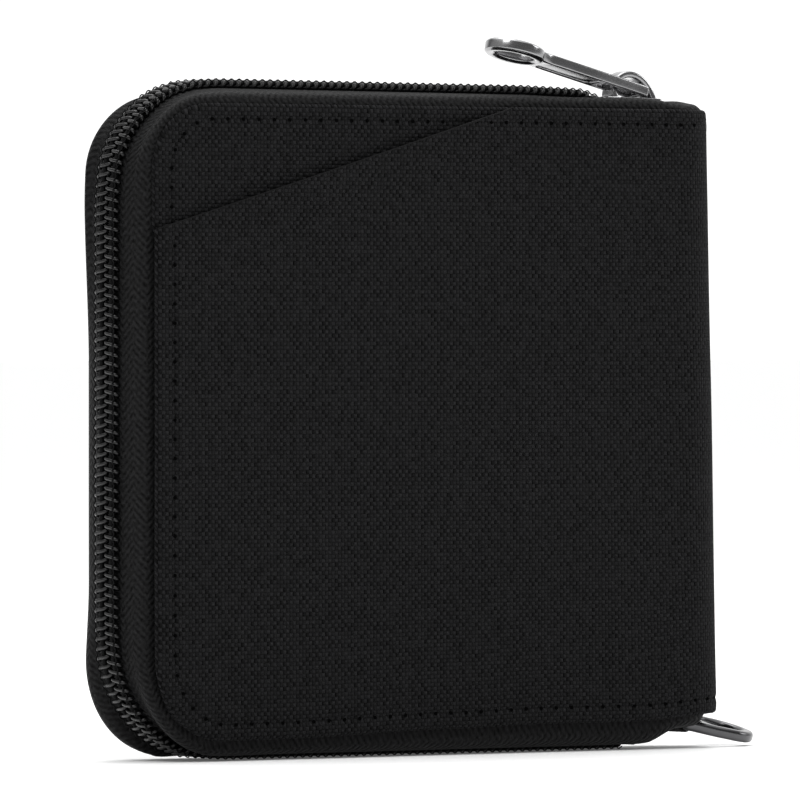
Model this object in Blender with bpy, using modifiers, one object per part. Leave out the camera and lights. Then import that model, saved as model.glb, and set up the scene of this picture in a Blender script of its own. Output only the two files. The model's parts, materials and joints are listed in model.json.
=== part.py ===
"""Zip-around bifold wallet, standing on its lower zip run with the spine at +X.

Units are metres, +Z is up, +X runs from the zipped edge to the spine, -Y is the front cover.
Two stiff covers are joined by a half-round spine. A coil zip on two tapes runs round the other
three sides; its slider and puller are on the top run, and a metal ring hangs under the spine.
"""

import math

import bmesh
import bpy
from mathutils import Matrix, Vector

# ---- Driving dimensions ----------------------------------------------------------------------
PANEL_LENGTH = 0.112  # a cover, from its zipped edge to the hinge line
PANEL_BOTTOM = 0.0041  # height of the covers' lower edge
PANEL_TOP = 0.1093
HALF_DEPTH = 0.0098  # from the mid-plane to a cover's outer face; also the spine's radius
TOP_CORNER = 0.0115  # corner radii of the covers
BOTTOM_CORNER = 0.0140
CHAIN_RISE = 0.0041  # the zip chain stands this far beyond the covers' edge
TOP_RUN_DROP = 0.0032  # the chain sinks this much along the top run, towards the spine
RING_REACH = 0.0104  # the ring shows this much past the spine
GAP = 0.0003  # clearance between pieces that touch
WELD = 0.00001  # points nearer than this are one point

# ---- The frame: x = 0 is the middle of the whole length, z = 0 the surface it stands on --------
TOTAL_LENGTH = CHAIN_RISE + PANEL_LENGTH + HALF_DEPTH + RING_REACH
PANEL_LEFT = CHAIN_RISE - TOTAL_LENGTH / 2
HINGE_X = PANEL_LEFT + PANEL_LENGTH
COVER_END = HINGE_X - GAP / 2
SPINE_START = HINGE_X + GAP / 2

# ---- Layers of a cover, as distances from the mid-plane (inner, outer) -------------------------
BACK_SKIN = (0.0089, HALF_DEPTH)
POCKET_SKIN = (0.0092, HALF_DEPTH)
FRONT_SKIN = (0.0082, 0.0089)
BOARD = (0.0071, 0.0079)
LINING = (0.0063, 0.0068)
BILL_POCKET = (0.0055, 0.0060)
CARD_SLOT_OUTER = 0.0060
CARD_SLOT_THICKNESS = 0.0004
CARD_SLOT_COUNT = 4
CARD_SLOT_TOP = 0.0950
CARD_SLOT_STEP = 0.0110
CARD_SLOT_MARGIN = 0.0080
BOARD_INSET = 0.0055
LINING_INSET = 0.0008
BILL_POCKET_TOP = 0.0920

# ---- Slip pocket on the front: its mouth runs straight from the left edge to the top edge ------
MOUTH_DROP = 0.0212
MOUTH_RUN = 0.0753

# ---- Zip tape and coil -------------------------------------------------------------------------
TAPE_THICKNESS = 0.0005
TAPE_END = HINGE_X - 0.0006
# Middle of the tape from its sewn margin to the coil: rise past the covers' edge, distance from
# the mid-plane, and how much of the top run's drop that line of the tape takes.
TAPE_PROFILE = (
    (-0.0042, 0.0075, 0.0),
    (-0.0006, 0.0075, 0.0),
    (0.0007, 0.0073, 0.0),
    (0.0015, 0.0067, 0.1),
    (0.00175, 0.0059, 0.5),
    (0.00175, 0.0050, 1.0),
    (0.00175, 0.0016, 1.0),
)
COIL_BASE = 0.0023
COIL_INNER = 0.0011
COIL_OUTER = 0.0031
COIL_CHAMFER = 0.0004
ARC_STEPS = 8

# ---- Slider, in its own frame: x along the chain, z the rise past the covers' edge -------------
SLIDER_LENGTH = 0.0116
SLIDER_X = HINGE_X - 0.0006 - SLIDER_LENGTH / 2
SLIDER_HEAD_HALF = 0.0046
SLIDER_TAIL_HALF = 0.0043
WING_BOTTOM = 0.00045
WING_TOP = 0.0050
THROAT_LOW = 0.0012
THROAT_HIGH = 0.0043
TAPE_SLOT_HIGH = 0.0023
THROAT_HALF = 0.0034
DIAMOND_HALF = 0.0009
DIAMOND_LENGTH = 0.0045
SLIDER_CORNER = 0.0016
BAIL_X = 0.0014
BAIL_HALF_LENGTH = 0.0043
BAIL_HEIGHT = 0.0046
BAIL_STOCK = 0.0011
BAIL_HALF_WIDTH = 0.00135

# ---- Puller: a flat lever with a slot round the bail and an oval eye ---------------------------
PULLER_PIVOT = (BAIL_X + 0.0014, WING_TOP + 0.0011)
PULLER_TILT = math.radians(14.0)
PULLER_THICKNESS = 0.0017
PULLER_HALF_WIDTH = 0.0025
PULLER_BAR = 0.00065
PULLER_SLOT_END = 0.0085
PULLER_SLOT_HALF = 0.0017
EYE_X = 0.0274
EYE_OUTER = (0.0055, 0.0045)
EYE_INNER = (0.0040, 0.0028)
EYE_NECK = 37.0  # degrees round the eye from the lever's line to where the shank joins it
NECK_LENGTH = 0.0035
PULLER_CORNER = 0.0004

# ---- Ring and its tab --------------------------------------------------------------------------
RING_LENGTH = 0.0152
RING_TILT = math.radians(11.0)
RING_ROLL = math.radians(-4.5)
RING_THICKNESS = 0.0019
RING_X = TOTAL_LENGTH / 2 - RING_LENGTH * math.cos(RING_TILT)
RING_CLEAR = 0.0002  # the ring's tip stays this far off the surface
RING_Z = RING_LENGTH * math.sin(RING_TILT) + RING_THICKNESS / 2 + RING_CLEAR
RING_HALF_WIDTH = 0.0062
RING_ROOT_HALF = 0.0040
RING_BAR = 0.0009
RING_SLOT = (0.0009, 0.0029, 0.0027)
RING_HOLE_START = 0.0050
RING_RIM = 0.0023
RING_HOLE_CORNER = 0.0008  # how much narrower the hole is at its straight end
TAB_INNER = 0.0014
TAB_OUTER = 0.0020
TAB_HALF_WIDTH = 0.0022
TAB_TOP = 0.0150

# ---- Spine ---------------------------------------------------------------------------------------
SPINE_BOTTOM = 0.0060
SPINE_TOP = 0.1090
SPINE_SKIN = 0.0009
SPINE_LINING = (0.0080, 0.0086)
TAIL_RADIUS = 0.0080
TAIL_LOW = 0.1090
TAIL_THICKNESS = 0.0012

# ---- The zip rows' ends ---------------------------------------------------------------------------
STOP_LENGTH = 0.0016
STOP_OUTER = 0.0028
TOP_STOP_START = HINGE_X - 0.0025
TOP_ROW_END = TOP_STOP_START - GAP
FRONT_ROW_START = HINGE_X - 0.0173  # the front row stops short of the slider, so that it can swing
STUB_SLANT = 0.75
BOTTOM_STOP = (HINGE_X - 0.0052, HINGE_X - 0.0020)

RUN_START = PANEL_LEFT + TOP_CORNER
DROP_SLOPE = TOP_RUN_DROP / (HINGE_X - RUN_START)
CHAIN_TILT = math.atan(DROP_SLOPE)


# ---- Scene, materials and grouping -----------------------------------------------------------------
def clear_scene():
    for obj in list(bpy.data.objects):
        bpy.data.objects.remove(obj)
    wallet = bpy.data.collections.new("zip_wallet")
    cutters = bpy.data.collections.new("cutters")
    bpy.context.scene.collection.children.link(wallet)
    bpy.context.scene.collection.children.link(cutters)
    return wallet, cutters


def material(name, colour, roughness, metallic=0.0):
    mat = bpy.data.materials.new(name)
    mat.use_nodes = True
    shader = mat.node_tree.nodes["Principled BSDF"]
    shader.inputs["Base Color"].default_value = (*colour, 1.0)
    shader.inputs["Roughness"].default_value = roughness
    shader.inputs["Metallic"].default_value = metallic
    return mat


def finished(obj, mat, parent=None, collection=None):
    """Links an object, gives it its material and parents it without moving it."""
    (collection or WALLET).objects.link(obj)
    if mat:
        obj.data.materials.append(mat)
    if parent:
        obj.parent = parent
        obj.matrix_parent_inverse = parent.matrix_world.inverted()
    return obj


def axis_empty(name, place, parent=None):
    empty = bpy.data.objects.new(name, None)
    empty.empty_display_size = 0.01
    WALLET.objects.link(empty)
    empty.parent = parent
    empty.matrix_parent_inverse = parent.matrix_world.inverted() if parent else Matrix()
    empty.matrix_basis = Matrix.Translation(place)
    bpy.context.view_layer.update()
    return empty


# ---- Shape helpers ---------------------------------------------------------------------------------
def arc(centre, radius, start, end, steps=ARC_STEPS):
    """Points on an arc or, with a pair for the radius, on an ellipse; angles are in degrees."""
    rx, ry = radius if isinstance(radius, tuple) else (radius, radius)
    points = []
    for i in range(steps + 1):
        angle = math.radians(start + (end - start) * i / steps)
        points.append((centre[0] + rx * math.cos(angle), centre[1] + ry * math.sin(angle)))
    return points


def cover_outline(inset=0.0, right=COVER_END, top=None):
    """Outline of a cover in X and Z: square at the spine, rounded at the zipped edge."""
    left = PANEL_LEFT + inset
    low = PANEL_BOTTOM + inset
    high = PANEL_TOP - inset
    r_low = BOTTOM_CORNER - inset
    r_high = TOP_CORNER - inset
    points = arc((left + r_low, low + r_low), r_low, 270, 180)
    if top is None:
        points += arc((left + r_high, high - r_high), r_high, 180, 90)
        points += [(right, high)]
    else:
        points += [(left, top), (right, top)]
    return points + [(right, low)]


def flat_piece(name, loops, thickness, place, mat, parent=None):
    """A flat outline, with holes where loops lie inside the first one, thickened both ways."""
    curve = bpy.data.curves.new(name, "CURVE")
    curve.dimensions = "2D"
    curve.fill_mode = "BOTH"
    curve.extrude = thickness / 2
    for loop in loops:
        spline = curve.splines.new("POLY")
        spline.points.add(len(loop) - 1)
        for point, (u, v) in zip(spline.points, loop):
            point.co = (u, v, 0.0, 1.0)
        spline.use_cyclic_u = True
    obj = bpy.data.objects.new(name, curve)
    obj.matrix_world = place
    return finished(obj, mat, parent)


def upright(y):
    """Places an outline drawn in X and Z on the plane at this y."""
    return Matrix.Translation((0, y, 0)) @ Matrix.Rotation(math.radians(90), 4, "X")


def cover_layer(name, outline, layer, side, mat, parent=None):
    """A flat layer of a cover; side is -1 for the front cover and 1 for the back one."""
    inner, outer = layer
    place = upright(side * (inner + outer) / 2)
    return flat_piece(name, [outline], outer - inner, place, mat, parent)


def block(name, low, high, mat, parent=None, collection=None, place=None):
    low, high = Vector(low), Vector(high)
    mesh = bpy.data.meshes.new(name)
    bm = bmesh.new()
    bmesh.ops.create_cube(bm, size=1.0)
    size = Matrix.Diagonal((*(high - low), 1.0))
    bm.transform(Matrix.Translation((low + high) / 2) @ size)
    bm.to_mesh(mesh)
    bm.free()
    obj = bpy.data.objects.new(name, mesh)
    obj.matrix_world = place or Matrix()
    return finished(obj, mat, parent, collection)


# ---- Sweeps round the zipped sides ----------------------------------------------------------------
def top_station(x):
    """A place on the top run: point, outward direction and the chain's drop there."""
    return (x, PANEL_TOP), (0.0, 1.0), max(0.0, x - RUN_START) * DROP_SLOPE


def rim_stations(top_end, bottom_end):
    """Places from the top run's end, round the zipped edge, to the bottom run's end."""
    stations = [top_station(top_end)]
    corners = (
        (RUN_START, PANEL_TOP - TOP_CORNER, TOP_CORNER, 90, 180),
        (PANEL_LEFT + BOTTOM_CORNER, PANEL_BOTTOM + BOTTOM_CORNER, BOTTOM_CORNER, 180, 270),
    )
    for x, z, radius, start, end in corners:
        for point, out in zip(arc((x, z), radius, start, end), arc((0, 0), 1.0, start, end)):
            stations.append((point, out, 0.0))
    stations.append(((bottom_end, PANEL_BOTTOM), (0.0, -1.0), 0.0))
    return stations


def swept_points(stations, profile, side):
    rows = []
    for (x, z), (out_x, out_z), drop in stations:
        row = []
        for rise, y, share in profile:
            row.append((x + out_x * rise, side * y, z + out_z * rise - drop * share))
        rows.append(row)
    return rows


def swept_mesh(name, rows, closed):
    """A mesh through rows of points; closed joins each row into a ring and caps both ends."""
    mesh = bpy.data.meshes.new(name)
    bm = bmesh.new()
    grid = [[bm.verts.new(point) for point in row] for row in rows]
    count = len(grid[0])
    for row, after in zip(grid, grid[1:]):
        for i in range(count if closed else count - 1):
            j = (i + 1) % count
            bm.faces.new((row[i], row[j], after[j], after[i]))
    if closed:
        bm.faces.new(grid[0])
        bm.faces.new(grid[-1])
    bmesh.ops.recalc_face_normals(bm, faces=bm.faces)
    bm.to_mesh(mesh)
    bm.free()
    return bpy.data.objects.new(name, mesh)


def coil_profile(outer=COIL_OUTER):
    """Cross-section of one coil row: its top corners are chamfered."""
    shoulder = CHAIN_RISE - COIL_CHAMFER
    return (
        (COIL_BASE, COIL_INNER, 1.0),
        (shoulder, COIL_INNER, 1.0),
        (CHAIN_RISE, COIL_INNER + COIL_CHAMFER, 1.0),
        (CHAIN_RISE, outer - COIL_CHAMFER, 1.0),
        (shoulder, outer, 1.0),
        (COIL_BASE, outer, 1.0),
    )


def zip_tape(name, side, mat, parent=None):
    rows = swept_points(rim_stations(TAPE_END, TAPE_END), TAPE_PROFILE, side)
    tape = finished(swept_mesh(name, rows, closed=False), mat, parent)
    shell = tape.modifiers.new("thickness", "SOLIDIFY")
    shell.thickness = TAPE_THICKNESS
    shell.offset = 0.0
    return tape


def coil_row(name, side, stations, mat, parent=None, slant=0.0, outer=COIL_OUTER):
    """A coil row; slant leans the last station's end face back as it goes away from the middle."""
    rows = swept_points(stations, coil_profile(outer), side)
    rows[-1] = [(x + slant * (abs(y) - COIL_INNER), y, z) for x, y, z in rows[-1]]
    return finished(swept_mesh(name, rows, closed=True), mat, parent)


# ---- Covers ------------------------------------------------------------------------------------------
def pocket_outline():
    """The slip pocket's panel: the cover's outline below its slanting mouth."""
    mouth_left = (PANEL_LEFT, PANEL_TOP - MOUTH_DROP)
    mouth_top = (PANEL_LEFT + MOUTH_RUN, PANEL_TOP)
    corner = (PANEL_LEFT + BOTTOM_CORNER, PANEL_BOTTOM + BOTTOM_CORNER)
    points = arc(corner, BOTTOM_CORNER, 270, 180) + [mouth_left, mouth_top]
    return points + [(COVER_END, PANEL_TOP), (COVER_END, PANEL_BOTTOM)]


def card_slot_outline(index):
    left = PANEL_LEFT + CARD_SLOT_MARGIN
    right = COVER_END - CARD_SLOT_MARGIN / 2
    low = PANEL_BOTTOM + CARD_SLOT_MARGIN / 2
    high = CARD_SLOT_TOP - index * CARD_SLOT_STEP
    return [(left, low), (left, high), (right, high), (right, low)]


def make_back_cover():
    """The back cover, with the end of the front coil row that the slider holds."""
    cover_layer("back_outer_panel", cover_outline(), BACK_SKIN, 1, FABRIC)
    cover_layer("back_board", cover_outline(BOARD_INSET), BOARD, 1, STIFFENER)
    cover_layer("back_lining", cover_outline(LINING_INSET), LINING, 1, LINER)
    for index in range(CARD_SLOT_COUNT):
        outer = CARD_SLOT_OUTER - index * (CARD_SLOT_THICKNESS + GAP)
        layer = (outer - CARD_SLOT_THICKNESS, outer)
        cover_layer(f"card_slot_{index + 1}", card_slot_outline(index), layer, 1, LINER)
    zip_tape("back_zip_tape", 1, TAPE)
    coil_row("back_coil_row", 1, rim_stations(TOP_ROW_END, BOTTOM_STOP[0] - GAP), COIL)
    stub = [top_station(TOP_ROW_END), top_station(FRONT_ROW_START + GAP)]
    coil_row("front_coil_end", -1, stub, COIL, slant=STUB_SLANT)
    coil_row("back_top_stop", 1, stop_stations(), COIL, outer=STOP_OUTER)
    coil_row("front_top_stop", -1, stop_stations(), COIL, outer=STOP_OUTER)
    block(
        "bottom_stop",
        (BOTTOM_STOP[0], -DIAMOND_HALF, GAP),
        (BOTTOM_STOP[1], COIL_OUTER, PANEL_BOTTOM - COIL_BASE),
        COIL,
    )


def stop_stations():
    return [top_station(TOP_STOP_START + STOP_LENGTH), top_station(TOP_STOP_START)]


def make_front_cover(parent):
    cover_layer("front_outer_panel", cover_outline(), FRONT_SKIN, -1, FABRIC, parent)
    cover_layer("front_pocket_panel", pocket_outline(), POCKET_SKIN, -1, FABRIC, parent)
    cover_layer("front_board", cover_outline(BOARD_INSET), BOARD, -1, STIFFENER, parent)
    cover_layer("front_lining", cover_outline(LINING_INSET), LINING, -1, LINER, parent)
    pocket = cover_outline(LINING_INSET, top=BILL_POCKET_TOP)
    cover_layer("bill_pocket", pocket, BILL_POCKET, -1, LINER, parent)
    zip_tape("front_zip_tape", -1, TAPE, parent)
    stations = rim_stations(FRONT_ROW_START, BOTTOM_STOP[1])
    coil_row("front_coil_row", -1, stations, COIL, parent)


# ---- Spine and ring ----------------------------------------------------------------------------------
def half_ring(inner, outer):
    """Outline in X and Y of a half-round shell that opens towards the covers."""
    centre = (SPINE_START, 0.0)
    steps = 2 * ARC_STEPS
    return arc(centre, outer, -90, 90, steps) + arc(centre, inner, 90, -90, steps)


def level(low, high):
    """Places an outline drawn in X and Y between two heights."""
    return Matrix.Translation((0, 0, (low + high) / 2))


def make_spine(parent):
    height = SPINE_TOP - SPINE_BOTTOM
    skin = half_ring(HALF_DEPTH - SPINE_SKIN, HALF_DEPTH)
    place = level(SPINE_BOTTOM, SPINE_TOP)
    flat_piece("spine_panel", [skin], height, place, FABRIC, parent)
    liner = half_ring(*SPINE_LINING)
    flat_piece("spine_lining", [liner], height, place, LINER, parent)
    tail = arc((SPINE_START, 0.0), TAIL_RADIUS - GAP, -90, 90, 2 * ARC_STEPS)
    place = level(TAIL_LOW, TAIL_LOW + TAIL_THICKNESS)
    flat_piece("tape_tail", [tail], TAIL_THICKNESS, place, TAPE, parent)
    outer = arc((0, 0), TAB_OUTER, 180, 360) + [(TAB_OUTER, TAB_TOP - RING_Z)]
    inner = [(TAB_INNER, TAB_TOP - RING_Z)] + arc((0, 0), TAB_INNER, 360, 180)
    ends = [(-TAB_INNER, TAB_TOP - RING_Z), (-TAB_OUTER, TAB_TOP - RING_Z)]
    place = Matrix.Translation((RING_X, 0, RING_Z)) @ upright(0)
    tab = outer + inner + ends
    flat_piece("ring_tab", [tab], 2 * TAB_HALF_WIDTH, place, WEBBING, parent)


def make_ring(parent):
    """A flat cast loop: a bar in the webbing tab, a slot for the tab, and a D-shaped hole."""
    bend = RING_LENGTH - RING_HALF_WIDTH
    nose = arc((bend, 0), RING_HALF_WIDTH, -90, 90, 2 * ARC_STEPS)
    root = [(RING_BAR, RING_ROOT_HALF), (-RING_BAR, RING_ROOT_HALF - RING_BAR)]
    outline = nose + root + [(u, -v) for u, v in reversed(root)]
    near, far, half = RING_SLOT
    slot = [(near, -half), (far, -half), (far, half), (near, half)]
    hole_half = RING_HALF_WIDTH - RING_RIM
    hole = arc((bend, 0), hole_half, -90, 90, 2 * ARC_STEPS)
    corner = hole_half - RING_HOLE_CORNER
    hole += [(RING_HOLE_START, corner), (RING_HOLE_START, -corner)]
    place = (
        Matrix.Translation((RING_X, 0, RING_Z))
        @ Matrix.Rotation(RING_TILT, 4, "Y")
        @ Matrix.Rotation(RING_ROLL, 4, "X")
    )
    flat_piece("attachment_ring", [outline, slot, hole], RING_THICKNESS, place, METAL, parent)


# ---- Slider and puller --------------------------------------------------------------------------------
def slider_frame():
    """The slider's own frame: on the chain's sloping line, at its middle."""
    drop = (SLIDER_X - RUN_START) * DROP_SLOPE
    place = Matrix.Translation((SLIDER_X, 0, PANEL_TOP - drop))
    return place @ Matrix.Rotation(CHAIN_TILT, 4, "Y")


def slider_outline():
    half = SLIDER_LENGTH / 2
    corner = SLIDER_CORNER
    side = [
        (-half, SLIDER_TAIL_HALF - corner),
        (-half + corner, SLIDER_TAIL_HALF),
        (0.0, SLIDER_TAIL_HALF),
        (half / 2, SLIDER_HEAD_HALF),
        (half - corner, SLIDER_HEAD_HALF),
        (half, SLIDER_HEAD_HALF - corner),
    ]
    return [(u, -v) for u, v in side] + list(reversed(side))


def as_mesh(obj):
    """Turns a curve object into a mesh object of the same name, with its caps welded."""
    bpy.context.view_layer.update()
    graph = bpy.context.evaluated_depsgraph_get()
    mesh = bpy.data.meshes.new_from_object(obj.evaluated_get(graph))
    bm = bmesh.new()
    bm.from_mesh(mesh)
    bmesh.ops.remove_doubles(bm, verts=bm.verts, dist=WELD)
    bm.to_mesh(mesh)
    bm.free()
    name, place, parent = obj.name, obj.matrix_world.copy(), obj.parent
    bpy.data.objects.remove(obj)
    solid = bpy.data.objects.new(name, mesh)
    solid.matrix_world = place
    return finished(solid, None, parent)


def make_slider(parent):
    frame = slider_frame()
    middle = frame @ Matrix.Translation((0, 0, (WING_BOTTOM + WING_TOP) / 2))
    blank = flat_piece(
        "slider_body", [slider_outline()], WING_TOP - WING_BOTTOM, middle, METAL, parent
    )
    body = as_mesh(blank)
    end = SLIDER_LENGTH
    head = SLIDER_LENGTH / 2 - DIAMOND_LENGTH
    throat = (THROAT_LOW, THROAT_HIGH)
    slot = (THROAT_LOW, TAPE_SLOT_HIGH)
    cuts = [("tail_throat", -end, head, -THROAT_HALF, THROAT_HALF, throat)]
    for side in (-1, 1):
        near, far = sorted((side * DIAMOND_HALF, side * THROAT_HALF))
        cuts.append((f"head_throat_{side}", head - GAP, end, near, far, throat))
        near, far = sorted((side * DIAMOND_HALF, side * 2 * SLIDER_HEAD_HALF))
        cuts.append((f"tape_slot_{side}", -end, end, near, far, slot))
    for name, x0, x1, y0, y1, (z0, z1) in cuts:
        low, high = (x0, y0, z0), (x1, y1, z1)
        cutter = block(name, low, high, None, parent, CUTTERS, frame)
        cutter.hide_render = True
        cutter.display_type = "WIRE"
        cut = body.modifiers.new(name, "BOOLEAN")
        cut.operation = "DIFFERENCE"
        cut.object = cutter
    base = WING_TOP + GAP
    outer = arc((BAIL_X, base), (BAIL_HALF_LENGTH, BAIL_HEIGHT), 0, 180, 2 * ARC_STEPS)
    inner_size = (BAIL_HALF_LENGTH - BAIL_STOCK, BAIL_HEIGHT - BAIL_STOCK)
    inner = arc((BAIL_X, base), inner_size, 180, 0, 2 * ARC_STEPS)
    place = frame @ upright(0)
    flat_piece("slider_bail", [outer + inner], 2 * BAIL_HALF_WIDTH, place, METAL, parent)


def puller_pivot():
    return slider_frame() @ Vector((PULLER_PIVOT[0], 0, PULLER_PIVOT[1]))


def make_puller(parent):
    """The lever lies along -x from its bar, which turns inside the bail."""
    neck = EYE_X - EYE_OUTER[0] * math.cos(math.radians(EYE_NECK))
    eye = arc((-EYE_X, 0), EYE_OUTER, EYE_NECK, 360 - EYE_NECK, 3 * ARC_STEPS)
    shank = [
        (-neck + NECK_LENGTH, -PULLER_HALF_WIDTH),
        (PULLER_BAR - PULLER_CORNER, -PULLER_HALF_WIDTH),
        (PULLER_BAR, -PULLER_HALF_WIDTH + PULLER_CORNER),
    ]
    outline = eye + shank + [(u, -v) for u, v in reversed(shank)]
    eye_hole = arc((-EYE_X, 0), EYE_INNER, 0, 360, 3 * ARC_STEPS)[:-1]
    half = PULLER_SLOT_HALF
    slot = arc((half - PULLER_SLOT_END, 0), half, 90, 270)
    slot += [(-PULLER_BAR, -half), (-PULLER_BAR, half)]
    place = Matrix.Translation(puller_pivot()) @ Matrix.Rotation(PULLER_TILT, 4, "Y")
    flat_piece("puller", [outline, eye_hole, slot], PULLER_THICKNESS, place, METAL, parent)


# ---- Assembly ------------------------------------------------------------------------------------------
WALLET, CUTTERS = clear_scene()
FABRIC = material("outer_fabric", (0.012, 0.012, 0.013), 0.85)
LINER = material("lining_fabric", (0.020, 0.020, 0.022), 0.75)
TAPE = material("zip_tape", (0.014, 0.014, 0.015), 0.80)
WEBBING = material("webbing", (0.012, 0.012, 0.012), 0.85)
STIFFENER = material("stiffener", (0.25, 0.24, 0.22), 0.70)
COIL = material("zip_coil", (0.010, 0.010, 0.011), 0.35)
METAL = material("gunmetal", (0.16, 0.16, 0.165), 0.22, 1.0)

spine_axis = axis_empty("spine_hinge_axis", (HINGE_X, HALF_DEPTH, 0.0))
front_axis = axis_empty("front_hinge_axis", (HINGE_X, -HALF_DEPTH, 0.0), spine_axis)
slider_axis = axis_empty("slider_line", slider_frame().translation)
puller_axis = axis_empty("puller_axis", puller_pivot(), slider_axis)
ring_axis = axis_empty("ring_axis", (RING_X, 0.0, RING_Z), spine_axis)

make_back_cover()
make_spine(spine_axis)
make_front_cover(front_axis)
make_slider(slider_axis)
make_puller(puller_axis)
make_ring(ring_axis)
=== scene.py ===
import json
import math

import bmesh
import bpy
from mathutils import Matrix, Vector, noise


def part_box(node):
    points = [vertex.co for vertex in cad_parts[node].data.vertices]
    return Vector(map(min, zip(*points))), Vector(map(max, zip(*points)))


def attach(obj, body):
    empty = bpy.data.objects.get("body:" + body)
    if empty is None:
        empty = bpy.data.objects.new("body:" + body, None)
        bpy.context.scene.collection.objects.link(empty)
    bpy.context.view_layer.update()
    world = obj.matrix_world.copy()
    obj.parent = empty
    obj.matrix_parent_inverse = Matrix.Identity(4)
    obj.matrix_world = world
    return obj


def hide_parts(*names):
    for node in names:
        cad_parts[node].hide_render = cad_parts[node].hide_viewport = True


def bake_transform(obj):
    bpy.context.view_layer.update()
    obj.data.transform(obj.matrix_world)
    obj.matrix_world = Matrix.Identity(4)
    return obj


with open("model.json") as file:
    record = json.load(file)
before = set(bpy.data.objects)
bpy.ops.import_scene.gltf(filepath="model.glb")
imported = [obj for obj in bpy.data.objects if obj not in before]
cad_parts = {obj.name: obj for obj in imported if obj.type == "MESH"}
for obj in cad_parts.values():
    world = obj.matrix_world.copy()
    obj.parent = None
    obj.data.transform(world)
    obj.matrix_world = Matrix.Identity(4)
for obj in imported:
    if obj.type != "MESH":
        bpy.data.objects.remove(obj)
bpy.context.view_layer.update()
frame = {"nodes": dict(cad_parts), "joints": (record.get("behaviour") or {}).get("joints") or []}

# ---- The frame's own sizes ----
cover_low, cover_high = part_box("back_outer_panel")
lining_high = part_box("back_lining")[1]
stop_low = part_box("back_top_stop")[0]
bottom_stop_low, bottom_stop_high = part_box("bottom_stop")
JOINT = {joint["name"]: joint for joint in frame["joints"]}
MM = 0.001
LEFT, BOTTOM, TOP = cover_low.x, cover_low.z, cover_high.z
HALF_DEPTH = cover_high.y
HINGE_X = JOINT["cover_fold"]["pos_m"][0]
LINING_DEPTH = HALF_DEPTH - lining_high.y
PIVOT = Vector(JOINT["puller_swing"]["pos_m"])
RING_PIVOT = Vector(JOINT["ring_swing"]["pos_m"])
SLIDE = Vector(JOINT["slider_travel"]["axis"])
CHAIN_TILT = math.atan2(SLIDE.z, -SLIDE.x)
DROP_SLOPE = math.tan(CHAIN_TILT)

# ---- Shapes that the frame's boxes don't give ----
TOP_CORNER = 0.0115
BOTTOM_CORNER = 0.0140
MOUTH_DROP = 0.0212  # the slip pocket's mouth: down the zipped edge, and along the top edge
MOUTH_RUN = 0.0753
SPINE_ARC = HALF_DEPTH * math.pi / 2  # fabric from the hinge line round to the spine's middle
FOLD_HALF = 0.004  # a span this far each side of a hinge line, worked out in finish_piece and not used


def smooth(t):
    t = min(1.0, max(0.0, t))
    return t * t * (3 - 2 * t)


def lerp(a, b, t):
    return a + (b - a) * t


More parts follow.
